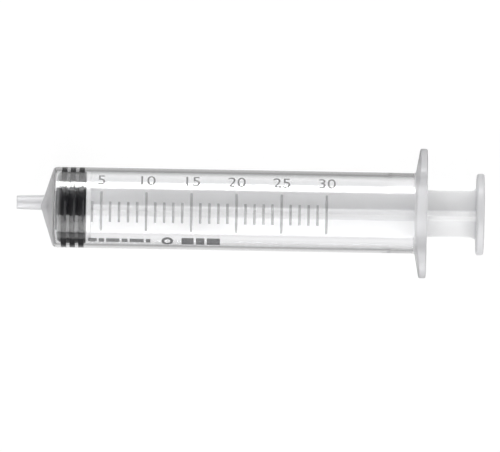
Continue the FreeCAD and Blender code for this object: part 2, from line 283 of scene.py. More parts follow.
class NodeTree:
    """A thin wrapper that adds and links nodes of one tree."""

    def __init__(self, tree: bpy.types.NodeTree) -> None:
        """Work on a tree, to which the nodes are added."""
        self.tree = tree

    def add(self, kind: str, **settings: object) -> bpy.types.Node:
        """Add a node.

        Args:
            kind: the node's type name.
            **settings: the node's own properties.

        Returns:
            The new node.
        """
        node = self.tree.nodes.new(kind)
        for key, value in settings.items():
            setattr(node, key, value)
        return node

    def feed(self, node: bpy.types.Node, **inputs: object) -> bpy.types.Node:
        """Set a node's inputs by name, each to a value or to the output that feeds it.

        Args:
            node: the node to feed.
            **inputs: input names, with underscores for spaces.

        Returns:
            The same node.
        """
        for key, value in inputs.items():
            self.put(node.inputs[key.replace("_", " ")], value)
        return node

    def put(self, socket: bpy.types.NodeSocket, value: object) -> None:
        """Set one socket.

        Args:
            socket: the node's input.
            value: a value for it, or the output that feeds it.
        """
        if isinstance(value, bpy.types.NodeSocket):
            self.tree.links.new(value, socket)
        else:
            socket.default_value = value

    def math(self, operation: str, *values: object) -> bpy.types.NodeSocket:
        """Work out a number.

        Args:
            operation: the Math node's operation.
            *values: one to three values or outputs.

        Returns:
            The output that gives the result.
        """
        node = self.add("ShaderNodeMath", operation=operation)
        for socket, value in zip(node.inputs, values):
            self.put(socket, value)
        return node.outputs[0]

    def join(self, share: object, first: object, second: object) -> bpy.types.NodeSocket:
        """Mix two shaders.

        Args:
            share: how much of the second shader shows, from 0 to 1.
            first: the shader that shows where the share is 0.
            second: the shader that shows where the share is 1.

        Returns:
            The output that gives the mixed shader.
        """
        node = self.add("ShaderNodeMixShader")
        for socket, value in zip(node.inputs, (share, first, second)):
            self.put(socket, value)
        return node.outputs[0]

    def blend(self, share: object, low: object, high: object) -> bpy.types.NodeSocket:
        """Mix two colours.

        Args:
            share: how much of the second colour shows, from 0 to 1.
            low: the colour where the share is 0.
            high: the colour where the share is 1.

        Returns:
            The output that gives the mixed colour.
        """
        factor, first, second, result = 0, 6, 7, 2
        node = self.add("ShaderNodeMix", data_type="RGBA")
        for index, value in ((factor, share), (first, low), (second, high)):
            self.put(node.inputs[index], value)
        return node.outputs[result]

    def vector(self, x: object, y: object, z: object) -> bpy.types.NodeSocket:
        """A vector from three values or outputs."""
        return self.feed(self.add("ShaderNodeCombineXYZ"), X=x, Y=y, Z=z).outputs[0]

    def coordinate(self, axis: str, kind: str = "Object") -> bpy.types.NodeSocket:
        """One coordinate of the place that is shaded.

        Args:
            axis: the axis, X, Y or Z.
            kind: the texture coordinates that it is taken from.

        Returns:
            The output that gives the coordinate.
        """
        split = self.add("ShaderNodeSeparateXYZ")
        self.put(split.inputs[0], self.add("ShaderNodeTexCoord").outputs[kind])
        return split.outputs[axis]

    def ramp(self, value: object, ends: Point, levels: Point = (0.0, 1.0)) -> bpy.types.NodeSocket:
        """A smooth change from one level to another.

        Args:
            value: what the change follows.
            ends: the values where the change starts and ends.
            levels: the levels before and after it.

        Returns:
            The output that gives the level.
        """
        node = self.feed(
            self.add("ShaderNodeMapRange", interpolation_type="SMOOTHSTEP"),
            Value=value,
            From_Min=ends[0],
            From_Max=ends[1],
            To_Min=levels[0],
            To_Max=levels[1],
        )
        return node.outputs["Result"]


def moulded_skin_group() -> bpy.types.NodeTree:
    """The shader group for the faint unevenness of a moulded surface.

    Returns:
        A group with inputs Wave Scale, Grain Scale, Depth, Roughness and Spread, and outputs Mask,
        Roughness and Normal.
    """
    wave_detail, grain_detail = 2.0, 4.0
    wave_share, grain_share = 0.6, 0.4
    middle = 0.5
    group = bpy.data.node_groups.new("moulded_skin", "ShaderNodeTree")
    for name in ("Wave Scale", "Grain Scale", "Depth", "Roughness", "Spread"):
        group.interface.new_socket(name=name, in_out="INPUT", socket_type="NodeSocketFloat")
    for name in ("Mask", "Roughness"):
        group.interface.new_socket(name=name, in_out="OUTPUT", socket_type="NodeSocketFloat")
    group.interface.new_socket(name="Normal", in_out="OUTPUT", socket_type="NodeSocketVector")
    nodes = NodeTree(group)
    start = nodes.add("NodeGroupInput").outputs
    place = nodes.add("ShaderNodeTexCoord").outputs["Object"]

    def noise(scale: str, detail: float) -> bpy.types.NodeSocket:
        """The noise whose scale is the input of this name."""
        node = nodes.add("ShaderNodeTexNoise")
        return nodes.feed(node, Vector=place, Scale=start[scale], Detail=detail).outputs["Fac"]

    fine = nodes.math("MULTIPLY", noise("Grain Scale", grain_detail), grain_share)
    mask = nodes.math("MULTIPLY_ADD", noise("Wave Scale", wave_detail), wave_share, fine)
    shift = nodes.math("MULTIPLY", nodes.math("SUBTRACT", mask, middle), start["Spread"])
    rough = nodes.math("ADD", start["Roughness"], shift)
    bump = nodes.feed(
        nodes.add("ShaderNodeBump"), Strength=1.0, Distance=start["Depth"], Height=mask
    )
    end = nodes.add("NodeGroupOutput").inputs
    nodes.put(end["Mask"], mask)
    nodes.put(end["Roughness"], nodes.math("MAXIMUM", rough, 0.0))
    nodes.put(end["Normal"], bump.outputs["Normal"])
    return group


@dataclass(frozen=True)
class SkinSettings:
    """How a finish uses the moulded skin group.

    Attributes:
        wave_scale: how closely the broad waves follow each other, per metre.
        grain_scale: how closely the fine grain's dots follow each other, per metre.
        depth: how deep the relief is.
        roughness: the finish's middle roughness.
        spread: how far the roughness strays between its smoothest and its roughest place.
    """

    wave_scale: float
    grain_scale: float
    depth: float
    roughness: float
    spread: float


@dataclass(frozen=True)
class Finish:
    """What every finish has: a name and the skin that unevens it."""

    name: str
    skin: SkinSettings

    def start(
        self, group: bpy.types.NodeTree
    ) -> tuple[bpy.types.Material, NodeTree, bpy.types.Node]:
        """Begin the material with the skin group in it.

        Args:
            group: the moulded skin group.

        Returns:
            The material, its tree and the placed group node.
        """
        material = bpy.data.materials.new(self.name)
        material.use_nodes = True
        material.node_tree.nodes.clear()
        nodes = NodeTree(material.node_tree)
        node = nodes.add("ShaderNodeGroup", node_tree=group)
        nodes.feed(
            node,
            Wave_Scale=self.skin.wave_scale,
            Grain_Scale=self.skin.grain_scale,
            Depth=self.skin.depth,
            Roughness=self.skin.roughness,
            Spread=self.skin.spread,
        )
        return material, nodes, node

    def graded(
        self, nodes: NodeTree, axis: str, ends: Point, plain: object, other: object
    ) -> bpy.types.NodeSocket:
        """A colour that turns into another one along an axis.

        Args:
            nodes: the material's tree.
            axis: the frame's axis, measured from the origin to either side.
            ends: where the change starts and ends along it.
            plain: the colour before the change.
            other: the colour after it.

        Returns:
            The output that gives the colour.
        """
        share = nodes.ramp(nodes.math("ABSOLUTE", nodes.coordinate(axis)), ends)
        return nodes.blend(share, plain, other)

    def body(
        self, nodes: NodeTree, moulded: bpy.types.Node, tint: object, **settings: object
    ) -> bpy.types.NodeSocket:
        """The plastic, rubber or ink itself, with the moulded skin's roughness and relief.

        Args:
            nodes: the material's tree.
            moulded: the placed group node.
            tint: its colour.
            **settings: the shader's further inputs, with underscores for spaces.

        Returns:
            The shader.
        """
        shader = nodes.feed(
            nodes.add("ShaderNodeBsdfPrincipled"),
            Base_Color=tint,
            Roughness=moulded.outputs["Roughness"],
            Normal=moulded.outputs["Normal"],
            **settings,
        )
        return shader.outputs[0]

    def output(self, nodes: NodeTree, shader: bpy.types.NodeSocket) -> None:
        """Lead a shader to the material's output."""
        nodes.put(nodes.add("ShaderNodeOutputMaterial").inputs["Surface"], shader)


@dataclass(frozen=True)
class ClearPlastic(Finish):
    """Clear moulded polypropylene that bends what is seen through it and lets the lamps in.

    Attributes:
        colour: its colour where the moulded skin is low.
        cloudy: its colour where the skin is high.
        cast: what is left of the light that it lets through onto the things round it.
    """

    colour: Colour = (0.992, 0.992, 0.996, 1.0)
    cloudy: Colour = (0.972, 0.973, 0.982, 1.0)
    cast: Colour = (0.985, 0.985, 0.985, 1.0)

    def make(self, group: bpy.types.NodeTree) -> bpy.types.Material:
        """Build the material.

        Args:
            group: the moulded skin group.

        Returns:
            The material.
        """
        material, nodes, moulded = self.start(group)
        tint = nodes.blend(moulded.outputs["Mask"], self.colour, self.cloudy)
        bent = self.body(nodes, moulded, tint, IOR=PLASTIC_IOR, Transmission_Weight=1.0)
        path = nodes.add("ShaderNodeLightPath").outputs
        unseen = nodes.math("MAXIMUM", path["Is Shadow Ray"], path["Is Diffuse Ray"])
        clear = nodes.feed(nodes.add("ShaderNodeBsdfTransparent"), Color=self.cast)
        self.output(nodes, nodes.join(unseen, bent, clear.outputs[0]))
        return material


@dataclass(frozen=True)
class FrostedPlastic(Finish):
    """The same polypropylene where it is thick: pale, cloudy and finely textured.

    Attributes:
        colour: its colour where the moulded skin is low.
        cloudy: its colour where the skin is high.
        painted_ear_shade: a darker grey painted towards the flange's ear tips, as painted shade.
        painted_ear_shade_at: where that painted shade starts and is reached, across the barrel.
        clarity: how much of the light goes through it.
    """

    colour: Colour = (0.90, 0.90, 0.914, 1.0)
    cloudy: Colour = (0.84, 0.84, 0.854, 1.0)
    painted_ear_shade: Colour = (0.665, 0.665, 0.68, 1.0)
    painted_ear_shade_at: Point = (14.0 * MM, 19.0 * MM)
    clarity: float = 0.6

    def make(self, group: bpy.types.NodeTree) -> bpy.types.Material:
        """Build the material.

        Args:
            group: the moulded skin group.

        Returns:
            The material.
        """
        material, nodes, moulded = self.start(group)
        plain = nodes.blend(moulded.outputs["Mask"], self.colour, self.cloudy)
        # Painted shade: the flange's ear tips turn a darker grey towards their ends.
        tint = self.graded(nodes, "Y", self.painted_ear_shade_at, plain, self.painted_ear_shade)
        optics = {"IOR": PLASTIC_IOR, "Transmission_Weight": self.clarity}
        self.output(nodes, self.body(nodes, moulded, tint, **optics))
        return material


@dataclass(frozen=True)
class BlackRubber(Finish):
    """Moulded black rubber, its conical face painted pale grey as a painted reflection.

    Attributes:
        colour: its colour where the moulded skin is low.
        bloom: its colour where the skin is high.
        front: a pale grey painted on its conical face, a painted reflection.
        painted_reflection_at: where it starts and is whole, from the frame's origin towards the
            nozzle.
        ior: refractive index of rubber.
        sheen: how strongly it mirrors.
    """

    colour: Colour = (0.006, 0.006, 0.007, 1.0)
    bloom: Colour = (0.018, 0.018, 0.020, 1.0)
    front: Colour = (0.42, 0.42, 0.43, 1.0)
    painted_reflection_at: Point = (-SCALE_ZERO_X - 1.65 * MM, -SCALE_ZERO_X + 0.1 * MM)
    ior: float = 1.5
    sheen: float = 0.4

    def make(self, group: bpy.types.NodeTree) -> bpy.types.Material:
        """Build the material.

        Args:
            group: the moulded skin group.

        Returns:
            The material.
        """
        material, nodes, moulded = self.start(group)
        plain = nodes.blend(moulded.outputs["Mask"], self.colour, self.bloom)
        # Painted reflection: the conical face is painted pale grey.
        tint = self.graded(nodes, "X", self.painted_reflection_at, plain, self.front)
        optics = {"IOR": self.ior, "Specular_IOR_Level": self.sheen}
        self.output(nodes, self.body(nodes, moulded, tint, **optics))
        return material


@dataclass(frozen=True)
class MilkyPlastic(Finish):
    """Natural polypropylene, milky and softly glossy.

    Attributes:
        colour: its colour where the moulded skin is low.
        pale: its colour where the skin is high.
        thumb: a darker grey painted on the thumb rest, as painted shade.
        painted_thumb_shade_at: where that painted shade starts and is reached, from the frame's
            origin.
        milkiness: how much of the light scatters inside it.
        milk_depth: how far it scatters.
    """

    colour: Colour = (0.955, 0.957, 0.965, 1.0)
    pale: Colour = (0.975, 0.977, 0.985, 1.0)
    thumb: Colour = (0.735, 0.735, 0.75, 1.0)
    painted_thumb_shade_at: Point = (SCALE_ZERO_X + 124.2 * MM, SCALE_ZERO_X + 125.2 * MM)
    milkiness: float = 0.5
    milk_depth: float = 1.2 * MM

    def make(self, group: bpy.types.NodeTree) -> bpy.types.Material:
        """Build the material.

        Args:
            group: the moulded skin group.

        Returns:
            The material.
        """
        material, nodes, moulded = self.start(group)
        plain = nodes.blend(moulded.outputs["Mask"], self.colour, self.pale)
        # Painted shade: the thumb rest is a darker grey than the rod.
        tint = self.graded(nodes, "X", self.painted_thumb_shade_at, plain, self.thumb)
        optics = {
            "IOR": PLASTIC_IOR,
            "Subsurface_Weight": self.milkiness,
            "Subsurface_Radius": (1.0, 1.0, 1.0),
            "Subsurface_Scale": self.milk_depth,
        }
        self.output(nodes, self.body(nodes, moulded, tint, **optics))
        return material


@dataclass(frozen=True)
class PrintInk(Finish):
    """Thin screen-printed ink, a little uneven, through which the plastic still shows.

    Attributes:
        colour: its colour where it is thick.
        thin: its colour where it is thin.
        cover: how much of what is under it it hides.
    """

    colour: Colour = (0.045, 0.046, 0.05, 1.0)
    thin: Colour = (0.10, 0.10, 0.105, 1.0)
    cover: float = 0.24

    def make(self, group: bpy.types.NodeTree) -> bpy.types.Material:
        """Build the material.

        Args:
            group: the moulded skin group.

        Returns:
            The material.
        """
        material, nodes, moulded = self.start(group)
        tint = nodes.blend(moulded.outputs["Mask"], self.colour, self.thin)
        self.output(nodes, self.body(nodes, moulded, tint, Alpha=self.cover))
        return material


@dataclass(frozen=True)
class Finishes:
    """The finishes of the syringe, each made once."""

    clear: bpy.types.Material
    frosted: bpy.types.Material
    clouded: bpy.types.Material
    misted: bpy.types.Material
    rubber: bpy.types.Material
    milky: bpy.types.Material
    scale_ink: bpy.types.Material
    number_ink: bpy.types.Material
    bold_ink: bpy.types.Material


def make_finishes() -> Finishes:
    """Build every material from one shared skin group.

    Returns:
        The finishes.
    """
    group = moulded_skin_group()
    # Each skin's wave scale, grain scale, depth, roughness and spread.
    clear = SkinSettings(45.0, 900.0, 0.004 * MM, 0.035, 0.03)
    frosted = SkinSettings(160.0, 2400.0, 0.01 * MM, 0.40, 0.12)
    clouded = SkinSettings(120.0, 1800.0, 0.008 * MM, 0.30, 0.10)
    misted = SkinSettings(90.0, 1500.0, 0.006 * MM, 0.13, 0.06)
    rubber = SkinSettings(300.0, 2600.0, 0.02 * MM, 0.32, 0.12)
    milky = SkinSettings(120.0, 1800.0, 0.012 * MM, 0.44, 0.12)
    ink = SkinSettings(500.0, 5000.0, 0.004 * MM, 0.45, 0.2)
    # Painted shade: the clouded shoulder is tinted a darker grey than the clear tube.
    painted_cone_shade: Colour = (0.875, 0.873, 0.885, 1.0)
    return Finishes(
        clear=ClearPlastic("clear_plastic", clear).make(group),
        frosted=FrostedPlastic("frosted_plastic", frosted).make(group),
        clouded=ClearPlastic("clouded_shaded_plastic", clouded, colour=painted_cone_shade, cloudy=painted_cone_shade).make(group),
        misted=ClearPlastic("misted_plastic", misted).make(group),
        rubber=BlackRubber("black_rubber", rubber).make(group),
        milky=MilkyPlastic("milky_plastic", milky).make(group),
        scale_ink=PrintInk("scale_ink", ink).make(group),
        number_ink=PrintInk("number_ink", ink, cover=0.55).make(group),
        bold_ink=PrintInk("bold_ink", ink, cover=0.62).make(group),
    )


# The barrel


@dataclass
class Barrel:
    """The clear barrel: tube, shoulder, off-centre nozzle, finger flange, bead and mouth.

    The skin is one closed grid. Its columns go round the barrel, and near the nozzle they close in
    on the nozzle's own axis along the shoulder. A size that ends in ease rounds a corner.
    """

    # Tube, shoulder and chamber
    outer_radius: float = 12.0 * MM
    bore_radius: float = 10.9 * MM
    length: float = 110.2 * MM
    shoulder_slope: float = math.tan(math.radians(18.1))
    shoulder_wall: float = 1.0 * MM
    shoulder_ease: float = 1.4 * MM
    chamber_edge: float = -0.2 * MM
    chamber_ease: float = 0.5 * MM

    # Nozzle, channel and funnel
    nozzle_drop: float = 6.5 * MM
    nozzle_tip: float = -12.1 * MM
    nozzle_tip_radius: float = 2.0 * MM
    nozzle_tip_ease: float = 0.28 * MM
    nozzle_taper: float = 0.03
    channel_radius: float = 1.0 * MM
    channel_ease: float = 0.15 * MM
    funnel_front: float = -2.2 * MM
    funnel_ease: float = 0.3 * MM
    root_ease: float = 0.5 * MM
    root_side: float = 0.9 * MM

    # Finger flange
    flange_radius: float = 19.3 * MM
    flange_half_height: float = 13.0 * MM
    flange_corner: float = 4.0 * MM
    flange_root: float = 3.4 * MM
    flange_root_ease: float = 0.42 * MM
    flange_tip: float = 2.1 * MM
    flange_ease: float = 0.5 * MM

    # Snap bead and mouth
    bead_middle: float = 98.4 * MM
    bead_width: float = 2.6 * MM
    bead_height: float = 0.06 * MM
    bead_ease: float = 3.0 * MM
    mouth_radius: float = 10.98 * MM
    mouth_flare: float = 0.5 * MM
    mouth_outer_ease: float = 0.2 * MM
    mouth_inner_ease: float = 0.25 * MM

    # Where the frosted and the clouded finishes begin and end
    frost_before_flange: float = 0.5 * MM
    frost_beyond_mouth: float = 0.2 * MM
    frost_before_shoulder: float = 0.5 * MM
    edge_frost_radius: float = 11.3 * MM
    edge_frost_back: float = -0.65 * MM
    cloud_back: float = 0.6 * MM
    cloud_depth: float = 0.5 * MM
    channel_clearance: float = 1.05

    # How closely the skin's points lie
    columns: int = 224
    nozzle_rings: int = 6
    shoulder_rings: int = 10
    tube_rings: int = 18
    bore_rings: int = 10

    def cone(self, edge_x: float, edge_r: float, across: float) -> float:
        """Where a cone of the shoulder lies.

        Args:
            edge_x: place along the barrel of an edge that the cone passes.
            edge_r: that edge's distance from the axis.
            across: a distance from the axis.

        Returns:
            The cone's place along the barrel at that distance.
        """
        return edge_x + (across - edge_r) * self.shoulder_slope

    def outer_cone(self, across: float) -> float:
        """Where the shoulder's outer face lies at a distance from the barrel's axis."""
        gap = self.shoulder_wall * math.hypot(1.0, self.shoulder_slope)
        return self.cone(self.chamber_edge - gap, self.bore_radius, across)

    def inner_cone(self, across: float) -> float:
        """Where the chamber's front face lies at a distance from the barrel's axis."""
        return self.cone(self.chamber_edge, self.bore_radius, across)

    def flange_reach(self, angle: float) -> float:
        """How far the flange reaches in a direction round the barrel.

        The outline is a disc between two flats, with rounded corners.

        Args:
            angle: direction from straight up, in radians.

        Returns:
            The distance from the barrel's axis to the outline.
        """
        disc = self.flange_radius - self.flange_corner
        flat = self.flange_half_height - self.flange_corner
        y, z = abs(math.sin(angle)), abs(math.cos(angle))

        def outside(reach: float) -> float:
            """How far a point lies from the core that the rounded corners are drawn about.

            Args:
                reach: the point's distance from the barrel's axis.

            Returns:
                Its distance from the core.
            """
            py, pz = reach * y, reach * z
            if math.hypot(py, min(pz, flat)) <= disc:
                return pz - min(pz, flat)
            if disc * z <= flat:
                return reach - disc
            return math.hypot(py - math.sqrt(disc**2 - flat**2), pz - flat)

        low, high = 0.0, self.flange_radius + MM
        halvings = 40
        for _ in range(halvings):
            middle = (low + high) / 2
            low, high = (middle, high) if outside(middle) < self.flange_corner else (low, middle)
        return high

    def branch(
        self,
        aim: Vector,
        straight: Callable[[float], float],
        growth: float,
        cone: Callable[[float], float],
        ease: float,
    ) -> list[Point]:
        """Round the corner between a wall about the nozzle's axis and a shoulder cone.

        Args:
            aim: the column's direction away from the nozzle's axis, across the barrel.
            straight: the wall's radius at a place along the nozzle.
            growth: how much that radius grows with that place.
            cone: the cone's place along the barrel at a distance from the barrel's axis.
            ease: the rounding's radius.

        Returns:
            Points along the nozzle and their distance from its axis, from the wall to the cone.
        """
        centre = Vector((0.0, -self.nozzle_drop))
        reach = self.channel_radius
        tries = 12
        for _ in range(tries):
            reach = straight(cone((centre + aim * reach).length))
        corner = cone((centre + aim * reach).length)
        step = 0.01 * MM
        slope = (cone((centre + aim * (reach + step)).length) - corner) / step
        side = self.root_side
        return eased(
            [
                Corner(corner - side, reach - side * growth),
                Corner(corner, reach, ease),
                Corner(corner + side * slope, reach + side),
            ],
            steps=6,
        )[1:-1]

    def column(self, angle: float) -> list[Vector]:
        """The points of one column, from the channel's tip end out and round to its funnel.

        Args:
            angle: the column's direction round the barrel, from straight up.

        Returns:
            The column's points in the frame.
        """
        spoke = Vector((math.sin(angle), math.cos(angle)))
        centre = Vector((0.0, -self.nozzle_drop))
        # Both cones end close to where the rounding of their edge begins.
        rim = self.outer_radius - 0.95 * self.shoulder_ease
        inner_rim = self.bore_radius - 1.2 * self.chamber_ease
        aim = (spoke * rim - centre).normalized()

        def about_nozzle(x: float, reach: float) -> Vector:
            """A point given about the nozzle's axis."""
            spot = centre + aim * reach
            return placed(x, spot.x, spot.y)

        def about_barrel(x: float, reach: float) -> Vector:
            """A point given about the barrel's axis."""
            return placed(x, spoke.x * reach, spoke.y * reach)

        def over_cone(
            cone: Callable[[float], float], start: Vector, end: Vector
        ) -> list[Vector]:
            """Points straight across a cone between two places beside the axis."""
            spots = [start.lerp(end, t) for t in along(0.0, 1.0, self.shoulder_rings)]
            return [placed(cone(s.length), s.x, s.y) for s in spots]

        def wall(x: float) -> float:
            """The nozzle's outer radius at a place along it."""
            return self.nozzle_tip_radius + self.nozzle_taper * (x - self.nozzle_tip)

        def funnel(x: float) -> float:
            """The funnel's radius at a place along it."""
            return self.channel_radius + x - self.funnel_front

        outer = self.branch(aim, wall, self.nozzle_taper, self.outer_cone, self.root_ease)
        inner = self.branch(aim, funnel, 1.0, self.inner_cone, self.funnel_ease)
        front_x = outer[0][0]
        tip = eased(
            [
                Corner(self.funnel_front - 0.5 * MM, self.channel_radius),
                Corner(self.nozzle_tip, self.channel_radius, self.channel_ease),
                Corner(self.nozzle_tip, self.nozzle_tip_radius, self.nozzle_tip_ease),
                Corner(front_x, outer[0][1]),
            ],
        )[:-1]
        nozzle = [(x, wall(x)) for x in along(tip[-1][0], front_x, self.nozzle_rings)]
        points = [about_nozzle(*p) for p in tip + nozzle + outer]
        points += over_cone(self.outer_cone, centre + aim * outer[-1][1], spoke * rim)
        reach = self.flange_reach(angle)
        points += [about_barrel(*p) for p in self.body_profile(rim, reach)]
        points.append(about_barrel(self.inner_cone(inner_rim), inner_rim))
        points += over_cone(self.inner_cone, spoke * inner_rim, centre + aim * inner[-1][1])
        points += [about_nozzle(*p) for p in reversed(inner)]
        points.append(about_nozzle(self.funnel_front, self.channel_radius))
        return points

    def body_profile(self, rim: float, reach: float) -> list[Point]:
        """The profile of the tube, the flange and the chamber about the barrel's axis.

        Args:
            rim: distance from the axis at which the shoulder ends and the profile starts.
            reach: distance from the axis to the flange's outline.

        Returns:
            The profile's points, from the shoulder over the flange to the chamber's front.
        """
        root = self.length - self.flange_root
        lean = (self.flange_root - self.flange_tip) / (self.flange_radius - self.outer_radius)
        edge = root + lean * (reach - self.outer_radius)
        bead_front = self.bead_middle - self.bead_width / 2
        bead_back = self.bead_middle + self.bead_width / 2
        bead = self.bore_radius - self.bead_height
        tube_front, tube_back = 20 * MM, root - 1.5 * MM
        bore_back, bore_front = 60 * MM, 4 * MM
        outer_in, inner_in = rim - 2 * MM, self.bore_radius - 2 * MM
        shoulder = eased(
            [
                Corner(self.outer_cone(outer_in), outer_in),
                Corner(self.outer_cone(self.outer_radius), self.outer_radius, self.shoulder_ease),
                Corner(tube_front, self.outer_radius),
            ],
            steps=8,
        )[1:-1]
        spots = along(shoulder[-1][0], tube_back, self.tube_rings)
        tube = [(x, self.outer_radius) for x in spots]
        rest = eased(
            [
                Corner(tube_back, self.outer_radius),
                Corner(root, self.outer_radius, self.flange_root_ease),
                Corner(edge, reach, self.flange_ease),
                Corner(self.length, reach, self.flange_ease),
                Corner(self.length, self.mouth_radius + self.mouth_flare, self.mouth_outer_ease),
                Corner(self.length - self.mouth_flare, self.mouth_radius, self.mouth_inner_ease),
                Corner(bead_back, self.mouth_radius, self.bead_ease),
                Corner(self.bead_middle, bead, self.bead_ease),
                Corner(bead_front, self.bore_radius, self.bead_ease),
                Corner(bore_back, self.bore_radius),
            ],
        )
        bore = [(x, self.bore_radius) for x in along(bore_back, bore_front, self.bore_rings)]
        end = eased(
            [
                Corner(bore_front, self.bore_radius),
                Corner(self.chamber_edge, self.bore_radius, self.chamber_ease),
                Corner(self.inner_cone(inner_in), inner_in),
            ],
        )[:-1]
        return shoulder + tube + rest + bore + end

    def finish_at(self, spot: Vector) -> Cover:
        """Choose the finish of a place on the barrel.

        The flange, the nozzle and the shoulder's edge are frosted, and the rest of the shoulder is
        clouded, with a tint darkened as painted shade. The bore is misted from the bead to the
        mouth.
        The tube and the channel are clear.

        Args:
            spot: the place in the frame.

        Returns:
            Its finish.
        """
        x, y, z = spot.x - SCALE_ZERO_X, spot.y, spot.z - AXIS_Z
        across = math.hypot(y, z)
        mouth = self.mouth_radius + self.frost_beyond_mouth
        if x > self.length - self.flange_root - self.frost_before_flange and across > mouth:
            return Cover.FROSTED
        if math.hypot(y, z + self.nozzle_drop) < self.channel_radius * self.channel_clearance:
            return Cover.CLEAR
        if x < self.outer_cone(self.nozzle_drop) - self.frost_before_shoulder:
            return Cover.FROSTED
        if across > self.edge_frost_radius and x < self.edge_frost_back:
            return Cover.FROSTED
        if x < self.outer_cone(across) + self.cloud_depth and x < self.cloud_back:
            return Cover.CLOUDED
        if x > self.bead_middle and across < mouth:
            return Cover.MISTED
        return Cover.CLEAR

    def build(self, finishes: Finishes) -> bpy.types.Object:
        """Build the barrel, which stands for its solid.

        Args:
            finishes: the syringe's finishes.

        Returns:
            The barrel's piece.
        """
        angles = [2 * math.pi * i / self.columns for i in range(self.columns)]
        columns = [self.column(a) for a in angles]
        rings = [list(ring) for ring in zip(*columns)]
        piece = new_piece("barrel_moulding", skin("barrel_moulding", rings, closed=True))
        for finish in (finishes.clear, finishes.frosted, finishes.clouded, finishes.misted):
            piece.data.materials.append(finish)
        for face in piece.data.polygons:
            face.material_index = self.finish_at(face.center).value
        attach(piece, Body.BARREL.value)
        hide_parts("barrel")
        return piece


# The printed scale


